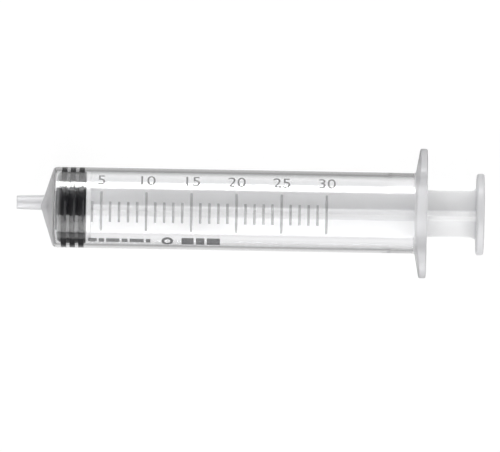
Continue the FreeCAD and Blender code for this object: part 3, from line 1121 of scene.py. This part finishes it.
@dataclass
class VolumeScale:
    """The scale printed on the barrel: a line for each millilitre, numbers and plain marks.

    Places round the barrel are angles from straight up. The marks are pairs of places along the
    barrel in millimetres, from the scale's zero, between which each bar lies.
    """

    radius: float = 12.0 * MM
    thickness: float = 0.02 * MM
    lift: float = 0.004 * MM
    pitch: float = 2.679 * MM
    volume: int = 30
    major_every: int = 5
    line_width: float = 0.75 * MM
    minor_from: float = math.radians(-9.5)
    minor_to: float = math.radians(20.0)
    major_from: float = math.radians(-23.0)
    major_to: float = math.radians(34.8)
    number_middle: float = math.radians(54.0)
    number_height: float = 4.0 * MM
    figure_share: float = 0.72
    mark_middle: float = math.radians(-41.8)
    mark_height: float = 3.4 * MM
    fine_marks: tuple[Point, ...] = (
        (9.6, 12.2),
        (12.8, 14.4),
        (15.0, 19.0),
        (19.6, 21.4),
        (22.0, 26.2),
        (26.8, 28.2),
    )
    fine_share: float = 0.5
    bold_marks: tuple[Point, ...] = (
        (37.4, 41.0),
        (41.7, 44.2),
        (44.9, 48.8),
    )
    bold_share: float = 0.92
    ring_at: float = 33.2 * MM
    ring_radius: float = 1.75 * MM
    ring_hole_share: float = 0.5
    ring_segments: int = 40
    arc_cuts: int = 11

    def name_sizes(self, tree: bpy.types.NodeTree) -> None:
        """Give the tree of the scale's lines its named inputs, set to the scale's own sizes.

        Args:
            tree: the tree of geometry nodes.
        """
        sizes: tuple[tuple[str, str, float | int], ...] = (
            ("Lines", "NodeSocketInt", self.volume + 1),
            ("Major Every", "NodeSocketInt", self.major_every),
            ("Zero", "NodeSocketFloat", SCALE_ZERO_X),
            ("Pitch", "NodeSocketFloat", self.pitch),
            ("Line Width", "NodeSocketFloat", self.line_width),
            ("Thickness", "NodeSocketFloat", self.thickness),
            ("Radius", "NodeSocketFloat", self.radius + self.lift),
            ("Minor From", "NodeSocketFloat", self.minor_from),
            ("Minor To", "NodeSocketFloat", self.minor_to),
            ("Major From", "NodeSocketFloat", self.major_from),
            ("Major To", "NodeSocketFloat", self.major_to),
            ("Axis Height", "NodeSocketFloat", AXIS_Z),
        )
        for name, kind, value in sizes:
            socket = tree.interface.new_socket(name=name, in_out="INPUT", socket_type=kind)
            socket.default_value = value

    def flat_lines(
        self,
        nodes: NodeTree,
        size: bpy.types.NodeOutputs,
        places: bpy.types.NodeSocket,
        chosen: bpy.types.NodeSocket,
        ends: tuple[bpy.types.NodeSocket, bpy.types.NodeSocket],
    ) -> bpy.types.NodeSocket:
        """The lines of one length, side by side on a plane.

        Args:
            nodes: the tree of geometry nodes.
            size: the tree's named inputs.
            places: the points along the scale, one for each millilitre.
            chosen: which of them have a line of this length.
            ends: the angles round the barrel where the lines start and end.

        Returns:
            The output that gives the lines.
        """
        low, high = ends
        arc = nodes.math("MULTIPLY", nodes.math("SUBTRACT", high, low), size["Radius"])
        arcs = nodes.math("MULTIPLY", nodes.math("ADD", high, low), size["Radius"])
        line = nodes.add("GeometryNodeMeshCube")
        nodes.feed(
            line,
            Size=nodes.vector(size["Line Width"], arc, size["Thickness"]),
            Vertices_X=3,
            Vertices_Y=25,
            Vertices_Z=2,
        )
        middle = nodes.math("MULTIPLY", arcs, 0.5)
        lifted = nodes.math("MULTIPLY", size["Thickness"], 0.5)
        moved = nodes.feed(
            nodes.add("GeometryNodeTransform"),
            Geometry=line.outputs["Mesh"],
            Translation=nodes.vector(0.0, middle, lifted),
        )
        copies = nodes.feed(
            nodes.add("GeometryNodeInstanceOnPoints"),
            Points=places,
            Selection=chosen,
            Instance=moved.outputs[0],
        )
        return copies.outputs[0]

    def graduation_tree(self, ink: bpy.types.Material) -> bpy.types.NodeTree:
        """The geometry nodes that lay the scale's lines round the barrel.

        Args:
            ink: the material of the lines.

        Returns:
            The tree, whose named inputs are the scale's sizes.
        """
        tree = bpy.data.node_groups.new("graduations", "GeometryNodeTree")
        self.name_sizes(tree)
        tree.interface.new_socket(name="Lines", in_out="OUTPUT", socket_type="NodeSocketGeometry")
        nodes = NodeTree(tree)
        size = nodes.add("NodeGroupInput").outputs
        places = nodes.add("GeometryNodeMeshLine", mode="OFFSET")
        nodes.feed(
            places,
            Count=size[0],
            Start_Location=nodes.vector(size["Zero"], 0.0, 0.0),
            Offset=nodes.vector(size["Pitch"], 0.0, 0.0),
        )
        index = nodes.add("GeometryNodeInputIndex").outputs[0]
        left = nodes.math("MODULO", index, size["Major Every"])
        major = nodes.math("LESS_THAN", left, 0.5)
        minor = nodes.math("SUBTRACT", 1.0, major)
        join = nodes.add("GeometryNodeJoinGeometry")
        for chosen, low, high in (
            (major, size["Major From"], size["Major To"]),
            (minor, size["Minor From"], size["Minor To"]),
        ):
            lines = self.flat_lines(nodes, size, places.outputs["Mesh"], chosen, (low, high))
            tree.links.new(lines, join.inputs[0])
        plain = nodes.feed(nodes.add("GeometryNodeRealizeInstances"), Geometry=join.outputs[0])
        split = nodes.add("ShaderNodeSeparateXYZ")
        nodes.put(split.inputs[0], nodes.add("GeometryNodeInputPosition").outputs[0])
        turn = nodes.math("DIVIDE", split.outputs["Y"], size["Radius"])
        reach = nodes.math("ADD", split.outputs["Z"], size["Radius"])
        across = nodes.math("MULTIPLY", reach, nodes.math("SINE", turn))
        up = nodes.math("MULTIPLY_ADD", reach, nodes.math("COSINE", turn), size["Axis Height"])
        laid = nodes.feed(
            nodes.add("GeometryNodeSetPosition"),
            Geometry=plain.outputs[0],
            Position=nodes.vector(split.outputs["X"], across, up),
        )
        inked = nodes.feed(
            nodes.add("GeometryNodeSetMaterial"), Geometry=laid.outputs[0], Material=ink
        )
        nodes.put(nodes.add("NodeGroupOutput").inputs[0], inked.outputs[0])
        return tree

    def graduations(self, ink: bpy.types.Material) -> bpy.types.Object:
        """The scale's lines as one plain mesh.

        Args:
            ink: the material of the lines.

        Returns:
            The piece, not yet riding on anything.
        """
        helper = new_piece("graduation_maker", bpy.data.meshes.new("graduation_maker"))
        modifier = helper.modifiers.new("graduations", "NODES")
        modifier.node_group = self.graduation_tree(ink)
        for item in modifier.node_group.interface.items_tree:
            if item.in_out == "INPUT":
                modifier[item.identifier] = item.default_value
        mesh = evaluated(helper, "scale_lines")
        clear_away(helper)
        return new_piece("scale_lines", mesh)

    def wrap_flat(self, build: bmesh.types.BMesh, x: float, arc: float) -> None:
        """Lay flat print round the barrel, after cutting it fine enough to bend.

        Args:
            build: the print, flat, with its first axis along the barrel.
            x: where its origin comes along the barrel, from the scale's zero.
            arc: where its origin comes round the barrel.
        """
        low = min(v.co.y for v in build.verts)
        high = max(v.co.y for v in build.verts)
        for cut in along(low, high, self.arc_cuts):
            everything = build.verts[:] + build.edges[:] + build.faces[:]
            bmesh.ops.bisect_plane(build, geom=everything, plane_co=(0, cut, 0), plane_no=(0, 1, 0))
        for v in build.verts:
            lift = self.lift + max(v.co.z, 0.0)
            v.co = wrapped(x + v.co.x, arc + v.co.y, lift, self.radius)
        bmesh.ops.recalc_face_normals(build, faces=build.faces)

    def number(self, value: int, x: float) -> bpy.types.Mesh:
        """One number of the scale, laid round the barrel.

        Args:
            value: the number to print.
            x: where its middle comes along the barrel, from the scale's zero.

        Returns:
            The number's mesh in the frame.
        """
        text = bpy.data.curves.new(f"number_{value}", "FONT")
        text.body = str(value)
        text.size = self.number_height / self.figure_share
        text.align_x = "CENTER"
        text.align_y = "CENTER"
        text.extrude = self.thickness
        text.resolution_u = 6
        helper = new_piece(f"number_{value}", text)
        mesh = evaluated(helper, f"number_{value}")
        clear_away(helper)
        build = bmesh.new()
        build.from_mesh(mesh)
        bmesh.ops.remove_doubles(build, verts=build.verts, dist=WELD)
        self.wrap_flat(build, x, self.number_middle * self.radius)
        build.to_mesh(mesh)
        build.free()
        return mesh

    def block(self, corners: Sequence[Point], hole: Sequence[Point] = ()) -> bpy.types.Mesh:
        """A flat printed field with straight or curved sides, laid round the barrel.

        Args:
            corners: the outline, along the barrel from the scale's zero and round the barrel.
            hole: an inner outline with as many corners, where the field is a ring.

        Returns:
            The field's mesh in the frame.
        """
        build = bmesh.new()
        outlines = [corners, hole] if hole else [corners]
        tops = [[build.verts.new((x, y, self.thickness)) for x, y in line] for line in outlines]
        bottoms = [[build.verts.new((x, y, 0.0)) for x, y in line] for line in outlines]
        count = len(corners)
        for i in range(count):
            j = (i + 1) % count
            for top, bottom in zip(tops, bottoms):
                build.faces.new((top[i], top[j], bottom[j], bottom[i]))
            if hole:
                build.faces.new((tops[0][i], tops[0][j], tops[1][j], tops[1][i]))
                build.faces.new((bottoms[0][i], bottoms[0][j], bottoms[1][j], bottoms[1][i]))
        if not hole:
            build.faces.new(tops[0])
            build.faces.new(bottoms[0])
        self.wrap_flat(build, 0.0, self.mark_middle * self.radius)
        mesh = bpy.data.meshes.new("mark")
        build.to_mesh(mesh)
        build.free()
        return mesh

    def joined(
        self, name: str, meshes: Iterable[bpy.types.Mesh], ink: bpy.types.Material
    ) -> bpy.types.Object:
        """Several prints as one piece with one ink.

        Args:
            name: the piece's name.
            meshes: the prints.
            ink: their material.

        Returns:
            The piece.
        """
        build = bmesh.new()
        for mesh in meshes:
            build.from_mesh(mesh)
            bpy.data.meshes.remove(mesh)
        whole = bpy.data.meshes.new(name)
        build.to_mesh(whole)
        build.free()
        whole.materials.append(ink)
        return new_piece(name, whole)

    def bars(self, ends: Sequence[Point], height: float) -> list[bpy.types.Mesh]:
        """Plain bars of one height.

        Args:
            ends: the two places along the barrel, in millimetres, between which each bar lies.
            height: their size round the barrel.

        Returns:
            The bars' meshes in the frame.
        """
        low, high = -height / 2, height / 2
        return [
            self.block([(a * MM, low), (b * MM, low), (b * MM, high), (a * MM, high)])
            for a, b in ends
        ]

    def bold_row(self, ink: bpy.types.Material) -> bpy.types.Object:
        """The bold bars and the ring beside the scale.

        Args:
            ink: their material.

        Returns:
            The piece.
        """
        meshes = self.bars(self.bold_marks, self.mark_height * self.bold_share)
        turns = [2 * math.pi * i / self.ring_segments for i in range(self.ring_segments)]
        rings = [
            [(self.ring_at + r * math.cos(t), r * math.sin(t)) for t in turns]
            for r in (self.ring_radius, self.ring_radius * self.ring_hole_share)
        ]
        meshes.append(self.block(rings[0], rings[1]))
        return self.joined("bold_marks", meshes, ink)

    def build(self, finishes: Finishes) -> list[bpy.types.Object]:
        """Print the lines, the numbers and the plain marks.

        Args:
            finishes: the syringe's finishes.

        Returns:
            The printed pieces.
        """
        steps = range(self.major_every, self.volume + 1, self.major_every)
        numbers = (self.number(v, v * self.pitch) for v in steps)
        pieces = [
            self.graduations(finishes.scale_ink),
            self.joined("scale_numbers", numbers, finishes.number_ink),
            self.joined(
                "fine_marks",
                self.bars(self.fine_marks, self.mark_height * self.fine_share),
                finishes.number_ink,
            ),
            self.bold_row(finishes.bold_ink),
        ]
        for piece in pieces:
            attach(piece, Body.BARREL.value)
        return pieces


# The piston


@dataclass
class Piston:
    """The black rubber piston, with a conical face, three ribs and a socket for the plunger.

    Places along it are given from the scale's zero. A size that ends in ease rounds a corner.
    """

    bore_radius: float = 10.9 * MM
    face_slope: float = math.tan(math.radians(18.1))
    face_setback: float = 0.7 * MM
    length: float = 8.7 * MM
    rib_radius: float = 10.94 * MM
    core_radius: float = 10.65 * MM
    land_radius: float = 10.5 * MM
    land_length: float = 0.15 * MM
    land_ease: float = 0.5 * MM
    point_radius: float = 0.3 * MM
    point_ease: float = 0.1 * MM
    front_radius: float = 9.9 * MM
    front_ease: float = 0.6 * MM
    rib_width: float = 1.65 * MM
    rib_first: float = 2.25 * MM
    rib_pitch: float = 2.6 * MM
    rib_count: int = 3
    rib_ease: float = 0.5 * MM
    rib_foot_ease: float = 0.05 * MM
    groove_ease: float = 0.2 * MM
    back_ease: float = 0.15 * MM
    lip_radius: float = 4.08 * MM
    lip_front: float = 6.4 * MM
    lip_ease: float = 0.3 * MM
    pocket_radius: float = 5.95 * MM
    pocket_front: float = 4.1 * MM
    pocket_ease: float = 0.1 * MM
    nose_radius: float = 2.35 * MM
    nose_front: float = 0.5 * MM
    nose_ease: float = 0.2 * MM
    segments: int = 192

    def face(self, across: float) -> float:
        """Where the piston's conical face lies at a distance from the axis."""
        return self.face_setback + (across - self.bore_radius) * self.face_slope

    def profile(self) -> list[Point]:
        """The piston's profile, from the middle of its face round to the bottom of its socket.

        Returns:
            The profile's points.
        """
        half = self.rib_width / 2
        core, ease = self.core_radius, self.groove_ease
        corners = [
            Corner(self.face(0.0), 0.0),
            Corner(self.face(self.point_radius), self.point_radius, self.point_ease),
            Corner(self.face(self.front_radius), self.front_radius, self.front_ease),
            Corner(self.rib_first - half - self.land_length, self.land_radius, self.land_ease),
            Corner(self.rib_first - half, self.land_radius, self.rib_foot_ease),
        ]
        for i in range(self.rib_count):
            middle = self.rib_first + i * self.rib_pitch
            corners.append(Corner(middle - half, self.rib_radius, self.rib_ease))
            corners.append(Corner(middle + half, self.rib_radius, self.rib_ease))
            corners.append(Corner(middle + half, core, ease))
            if i < self.rib_count - 1:
                corners.append(Corner(middle + self.rib_pitch - half, core, ease))
        corners += [
            Corner(self.length, core, self.back_ease),
            Corner(self.length, self.lip_radius, self.lip_ease),
            Corner(self.lip_front, self.lip_radius, self.pocket_ease),
            Corner(self.lip_front, self.pocket_radius, self.pocket_ease),
            Corner(self.pocket_front, self.pocket_radius, self.pocket_ease),
            Corner(self.nose_front, self.nose_radius, self.nose_ease),
            Corner(self.nose_front, 0.0),
        ]
        return eased(corners)

    def build(self, finishes: Finishes) -> bpy.types.Object:
        """Build the piston, which stands for its solid.

        Args:
            finishes: the syringe's finishes.

        Returns:
            The piston's piece.
        """
        piece = new_piece("piston_rubber", turned("piston_rubber", self.profile(), self.segments))
        piece.data.materials.append(finishes.rubber)
        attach(piece, Body.PISTON.value)
        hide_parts("piston")
        return piece


# The plunger


@dataclass
class Plunger:
    """The milky plunger: snap head, support disc, cross-shaped rod and thumb rest.

    Places along it are given from the scale's zero. A size that ends in ease rounds a corner.
    """

    # Snap head and support disc
    nose_front: float = 0.65 * MM
    nose_radius: float = 2.2 * MM
    nose_ease: float = 0.3 * MM
    head_front: float = 4.25 * MM
    head_back: float = 6.25 * MM
    head_radius: float = 5.8 * MM
    head_ease: float = 0.4 * MM
    head_back_ease: float = 0.15 * MM
    neck_radius: float = 4.0 * MM
    neck_ease: float = 0.1 * MM
    disc_front: float = 8.85 * MM
    disc_back: float = 10.25 * MM
    disc_radius: float = 10.6 * MM
    disc_ease: float = 0.25 * MM

    # Cross-shaped rod
    rod_radius: float = 6.95 * MM
    rod_sunk: float = 0.5 * MM
    rod_inset: float = 2.0 * MM
    rod_rings: int = 10
    web: float = 1.5 * MM
    web_ease: float = 0.3 * MM
    cross_ease: float = 0.6 * MM
    gusset_height: float = 0.8 * MM
    gusset_length: float = 1.4 * MM

    # Thumb rest
    thumb_front: float = 125.0 * MM
    thumb_back: float = 127.3 * MM
    thumb_radius: float = 12.15 * MM
    thumb_ease: float = 0.65 * MM
    groove_first: float = 3.2 * MM
    groove_pitch: float = 2.4 * MM
    groove_width: float = 0.9 * MM
    groove_depth: float = 0.35 * MM
    groove_ease: float = 0.12 * MM
    groove_count: int = 3

    segments: int = 160
    sharp_from: float = math.radians(32)

    def head_profile(self) -> list[Point]:
        """The profile of the snap head and the support disc.

        Returns:
            The profile's points.
        """
        return eased(
            [
                Corner(self.nose_front, 0.0),
                Corner(self.nose_front, self.nose_radius, self.nose_ease),
                Corner(self.head_front, self.head_radius, self.head_ease),
                Corner(self.head_back, self.head_radius, self.head_back_ease),
                Corner(self.head_back, self.neck_radius, self.neck_ease),
                Corner(self.disc_front, self.neck_radius, self.neck_ease),
                Corner(self.disc_front, self.disc_radius, self.disc_ease),
                Corner(self.disc_back, self.disc_radius, self.disc_ease),
                Corner(self.disc_back, 0.0),
            ],
            steps=4,
        )

    def thumb_profile(self) -> list[Point]:
        """The profile of the thumb rest, with ring-shaped grooves in its outer face.

        Returns:
            The profile's points.
        """
        corners = [
            Corner(self.thumb_front, 0.0),
            Corner(self.thumb_front, self.thumb_radius, self.thumb_ease),
            Corner(self.thumb_back, self.thumb_radius, self.thumb_ease),
        ]
        floor = self.thumb_back - self.groove_depth
        for i in reversed(range(self.groove_count)):
            near_side = self.groove_first + i * self.groove_pitch
            painted_far_side = near_side + self.groove_width
            corners += [
                Corner(self.thumb_back, painted_far_side, self.groove_ease),
                Corner(floor, painted_far_side, self.groove_ease),
                Corner(floor, near_side, self.groove_ease),
                Corner(self.thumb_back, near_side, self.groove_ease),
            ]
        corners.append(Corner(self.thumb_back, 0.0))
        return eased(corners, steps=4)

    def cross(self, reach: float) -> list[Point]:
        """The outline of the cross-shaped rod.

        Args:
            reach: how far the webs reach from the axis.

        Returns:
            The outline's points across the barrel.
        """
        half = self.web / 2
        quarter = [
            Corner(half, half, self.cross_ease),
            Corner(half, reach, self.web_ease),
            Corner(-half, reach, self.web_ease),
        ]
        corners: list[Corner] = []
        for turn in range(4):
            c, s = round(math.cos(turn * math.pi / 2)), round(math.sin(turn * math.pi / 2))
            corners += [Corner(q.x * c - q.r * s, q.x * s + q.r * c, q.ease) for q in quarter]
        padded = [corners[-1], *corners, corners[0]]
        return eased(padded, steps=4)[1:-1]

    def rod_mesh(self) -> bpy.types.Mesh:
        """The rod, widened at both ends, with its ends inside the disc and the thumb rest.

        Returns:
            The rod's closed mesh.
        """
        wide = self.rod_radius + self.gusset_height
        start, end = self.disc_back + self.rod_inset, self.thumb_front - self.rod_inset
        stations = [
            (self.disc_back - self.rod_sunk, wide),
            (self.disc_back, wide),
            (self.disc_back + self.gusset_length, self.rod_radius),
            *((x, self.rod_radius) for x in along(start, end, self.rod_rings)),
            (self.thumb_front - self.gusset_length, self.rod_radius),
            (self.thumb_front, wide),
            (self.thumb_front + self.rod_sunk, wide),
        ]
        rings = [[placed(x, y, z) for y, z in self.cross(reach)] for x, reach in stations]
        mesh = skin("rod", rings)
        build = bmesh.new()
        build.from_mesh(mesh)
        bmesh.ops.holes_fill(build, edges=[e for e in build.edges if e.is_boundary])
        bmesh.ops.recalc_face_normals(build, faces=build.faces)
        build.to_mesh(mesh)
        build.free()
        return mesh

    def build(self, finishes: Finishes) -> bpy.types.Object:
        """Build the plunger as one moulding, which stands for its solid.

        Args:
            finishes: the syringe's finishes.

        Returns:
            The plunger's piece.
        """
        rod = new_piece("rod", self.rod_mesh())
        head = new_piece("head", turned("head", self.head_profile(), self.segments))
        thumb = new_piece("thumb", turned("thumb", self.thumb_profile(), self.segments))
        for part in (head, thumb):
            union = rod.modifiers.new(part.name, "BOOLEAN")
            union.operation = "UNION"
            union.solver = "EXACT"
            union.object = part
        mesh = evaluated(rod, "plunger_moulding")
        clear_away(rod, head, thumb)
        mesh.shade_smooth()
        mesh.set_sharp_from_angle(angle=self.sharp_from)
        mesh.materials.clear()
        mesh.materials.append(finishes.milky)
        piece = new_piece("plunger_moulding", mesh)
        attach(piece, Body.PLUNGER.value)
        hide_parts("plunger")
        return piece


# The studio


@dataclass(frozen=True)
class Lamp:
    """A rectangular lamp that looks at the syringe from a direction round the barrel's axis.

    Attributes:
        name: the lamp's name.
        angle: direction from straight up, positive towards +Y, in degrees.
        distance: how far away it is.
        length: its size along the barrel.
        width: its size round the barrel.
        mirrored: its brightness in mirrored light, where 1 is white.
        cast: its brightness as the light that it casts on matt surfaces.
        shift: how far it hangs towards the thumb rest.
    """

    name: str
    angle: float
    distance: float
    length: float
    width: float
    mirrored: float
    cast: float
    shift: float


@dataclass
class Studio:
    """The white table, the lamps, the surroundings and the camera.

    A brightness of 1 is white, or for the surroundings their own grey.

    Attributes:
        view_tilt: how far the camera leans from straight above towards +Y, in degrees.
        view_roll: how far the picture is turned, in degrees.
        view_distance: how far away the camera is.
        view_width: how much of the table's width the picture shows.
        view_drop: how far below the barrel's axis the picture's middle is.
        sensor: the width of the camera's sensor, in millimetres.
        view_reach: how far the camera sees.
        table_size: length of the table's side.
        table_white: how much light the matt table gives back.
        table_glow: the white that the table shows to the camera.
        table_shade: how much of the matt table, with its shadows, shows through that white.
        painted_glow_under: brightness of the light painted on the table under the syringe.
        painted_glow_beside: brightness of the table beside that painted light.
        painted_glow_middle: the middle line of that painted light, across the barrel.
        painted_glow_from: distance from that line at which the painted light starts to dim.
        painted_glow_to: distance at which it has the brightness beside it.
        painted_far_glow: how bright the table is far off, in mirrored light: painted light.
        painted_far_ends: where that painted light starts and is reached, towards +Y.
        grey_around: the surroundings' grey.
        around: brightness of the surroundings in the light that falls on matt surfaces.
        mirrored_around: their brightness overhead, in mirrored light.
        mirrored_horizon: their brightness near the horizon, in mirrored light.
        horizon_ends: the heights, as sines, between which one turns into the other.
        seen_through: their brightness through the clear plastic.
        lamps: the lamps.
    """

    view_tilt: float = 11.0
    view_roll: float = 1.02
    view_distance: float = 3.0
    view_width: float = 0.149
    view_drop: float = 4.63 * MM
    view_reach: float = 20.0
    sensor: float = 36.0
    table_size: float = 4.0
    table_white: float = 0.8
    table_glow: float = 1.1
    table_shade: float = 0.15
    painted_glow_under: float = 0.88
    painted_glow_beside: float = 0.10
    painted_glow_middle: float = -7.5 * MM
    painted_glow_from: float = 6.5 * MM
    painted_glow_to: float = 38.0 * MM
    painted_far_glow: float = 1.6
    painted_far_ends: Point = (26.0 * MM, 36.0 * MM)
    grey_around: float = 0.8
    around: float = 0.50
    mirrored_around: float = 0.05
    mirrored_horizon: float = 1.7
    horizon_ends: Point = (0.22, 0.42)
    seen_through: float = 0.3
    # Each lamp's name, angle, distance, length, width, mirrored and cast brightness, and shift.
    lamps: tuple[Lamp, ...] = field(
        default_factory=lambda: (
            Lamp("softbox", -39.0, 0.62, 0.7, 0.62, 2.7, 3.0, 0.12),
            Lamp("softbox_core", -50.0, 0.60, 0.6, 0.32, 1.1, 1.3, 0.12),
            Lamp("strip", 80.5, 0.5, 0.5, 0.155, 17.0, 5.2, 0.0),
        )
    )

    def painted_glow(self, nodes: NodeTree) -> bpy.types.NodeSocket:
        """How bright the table is in mirrored and bent light: light painted on it under the
        syringe.

        Args:
            nodes: the table's material.

        Returns:
            The output that gives the brightness.
        """
        aside = nodes.math("SUBTRACT", nodes.coordinate("Y"), self.painted_glow_middle)
        ends, levels = (self.painted_glow_from, self.painted_glow_to), (self.painted_glow_under, self.painted_glow_beside)
        return nodes.ramp(nodes.math("ABSOLUTE", aside), ends, levels)

    def painted_far_side(self, nodes: NodeTree) -> bpy.types.NodeSocket:
        """How bright the table is in mirrored light: plain near the syringe, painted light further
        off.
        """
        return nodes.ramp(nodes.coordinate("Y"), self.painted_far_ends, (0.0, self.painted_far_glow))

    def make_table(self) -> None:
        """Lay the white table, which keeps a faint shadow of the syringe."""
        half = self.table_size / 2
        mesh = bpy.data.meshes.new("table")
        corners = [(-half, -half, 0.0), (half, -half, 0.0), (half, half, 0.0), (-half, half, 0.0)]
        mesh.from_pydata(corners, [], [(0, 1, 2, 3)])
        table = new_piece("table", mesh)
        material = bpy.data.materials.new("white_table")
        material.use_nodes = True
        material.node_tree.nodes.clear()
        nodes = NodeTree(material.node_tree)
        path = nodes.add("ShaderNodeLightPath").outputs
        grey: Colour = (self.table_white, self.table_white, self.table_white, 1.0)
        matt = nodes.feed(nodes.add("ShaderNodeBsdfDiffuse"), Color=grey)
        white = nodes.feed(nodes.add("ShaderNodeEmission"), Strength=self.table_glow)
        # Painted light: in mirrored and bent light the table glows under the syringe and further
        # off.
        mirrored = nodes.math("MULTIPLY", path["Is Glossy Ray"], self.painted_far_side(nodes))
        glow = nodes.math("MAXIMUM", self.painted_glow(nodes), mirrored)
        painted_glow = nodes.feed(nodes.add("ShaderNodeEmission"), Strength=glow)
        seen = nodes.join(self.table_shade, white.outputs[0], matt.outputs[0])
        bent = nodes.math("MAXIMUM", path["Is Glossy Ray"], path["Is Transmission Ray"])
        direct = nodes.join(path["Is Camera Ray"], matt.outputs[0], seen)
        whole = nodes.join(bent, direct, painted_glow.outputs[0])
        nodes.put(nodes.add("ShaderNodeOutputMaterial").inputs[0], whole)
        mesh.materials.append(material)

    def make_world(self) -> None:
        """Pale grey past the table, dim in reflections, plain in the light that falls."""
        world = bpy.data.worlds.new("surroundings")
        bpy.context.scene.world = world
        world.use_nodes = True
        world.node_tree.nodes.clear()
        nodes = NodeTree(world.node_tree)
        path = nodes.add("ShaderNodeLightPath").outputs
        changes = (self.mirrored_horizon - self.around, self.mirrored_around - self.around)
        fall = nodes.ramp(nodes.coordinate("Z", "Generated"), self.horizon_ends, changes)
        level = self.around
        for ray, change in (
            ("Is Camera Ray", 1.0 - self.around),
            ("Is Glossy Ray", fall),
            ("Is Transmission Ray", self.seen_through - self.around),
        ):
            level = nodes.math("MULTIPLY_ADD", path[ray], change, level)
        grey: Colour = (self.grey_around, self.grey_around, self.grey_around, 1.0)
        light = nodes.feed(nodes.add("ShaderNodeBackground"), Color=grey, Strength=level)
        nodes.put(nodes.add("ShaderNodeOutputWorld").inputs[0], light.outputs[0])

    def hang(self, lamp: Lamp, name: str, radiance: float) -> bpy.types.Object:
        """Hang one light of a lamp.

        Args:
            lamp: its place and size.
            name: the light's name.
            radiance: its brightness, where 1 is white.

        Returns:
            The light's object.
        """
        light = bpy.data.lights.new(name, "AREA")
        light.shape = "RECTANGLE"
        light.size = lamp.length
        light.size_y = lamp.width
        light.energy = radiance * math.pi * lamp.length * lamp.width
        hung = bpy.data.objects.new(name, light)
        bpy.context.scene.collection.objects.link(hung)
        angle = math.radians(lamp.angle)
        out = Vector((0.0, math.sin(angle), math.cos(angle)))
        side = Vector((0.0, math.cos(angle), -math.sin(angle)))
        turn = Matrix((Vector((1.0, 0.0, 0.0)), side, out)).transposed()
        spot = Vector((lamp.shift, 0.0, AXIS_Z)) + out * lamp.distance
        hung.matrix_world = Matrix.Translation(spot) @ turn.to_4x4()
        return hung

    def make_lamp(self, lamp: Lamp) -> None:
        """Hang one lamp as two lights: the one that is mirrored, and the one that is cast.

        Args:
            lamp: its place, size and brightness.
        """
        mirrored = self.hang(lamp, f"{lamp.name}_mirrored", lamp.mirrored)
        mirrored.visible_diffuse = False
        cast = self.hang(lamp, f"{lamp.name}_cast", lamp.cast)
        cast.visible_glossy = False
        cast.visible_transmission = False

    def make_camera(self) -> None:
        """Set up the camera, far enough away that the syringe shows almost no perspective."""
        tilt, roll = math.radians(self.view_tilt), math.radians(self.view_roll)
        back = Vector((0.0, math.sin(tilt), math.cos(tilt)))
        level = Vector((1.0, 0.0, 0.0))
        rise = Vector((0.0, math.cos(tilt), -math.sin(tilt)))
        right = level * math.cos(roll) + rise * math.sin(roll)
        up = rise * math.cos(roll) - level * math.sin(roll)
        data = bpy.data.cameras.new("camera")
        data.sensor_width = self.sensor
        data.lens = self.sensor * self.view_distance / self.view_width
        data.clip_end = self.view_reach
        camera = bpy.data.objects.new("camera", data)
        bpy.context.scene.collection.objects.link(camera)
        target = Vector((0.0, 0.0, AXIS_Z)) - up * self.view_drop
        turn = Matrix((right, up, back)).transposed().to_4x4()
        camera.matrix_world = Matrix.Translation(target + back * self.view_distance) @ turn
        bpy.context.scene.camera = camera

    def build(self) -> None:
        """Set up the studio."""
        self.make_camera()
        self.make_table()
        self.make_world()
        for lamp in self.lamps:
            self.make_lamp(lamp)
        bpy.context.scene.view_settings.view_transform = "Standard"


def report(pieces: Iterable[bpy.types.Object]) -> None:
    """Log each piece with its number of faces."""
    for piece in pieces:
        log.info("%s: %d faces", piece.name, len(piece.data.polygons))


def main() -> None:
    """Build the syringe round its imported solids, piece by piece, and the studio round it."""
    logging.basicConfig(level=logging.INFO, format="%(name)s: %(message)s")
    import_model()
    finishes = make_finishes()
    report([Barrel().build(finishes)])
    report(VolumeScale().build(finishes))
    report([Piston().build(finishes)])
    report([Plunger().build(finishes)])
    Studio().build()


if __name__ == "__main__":
    main()
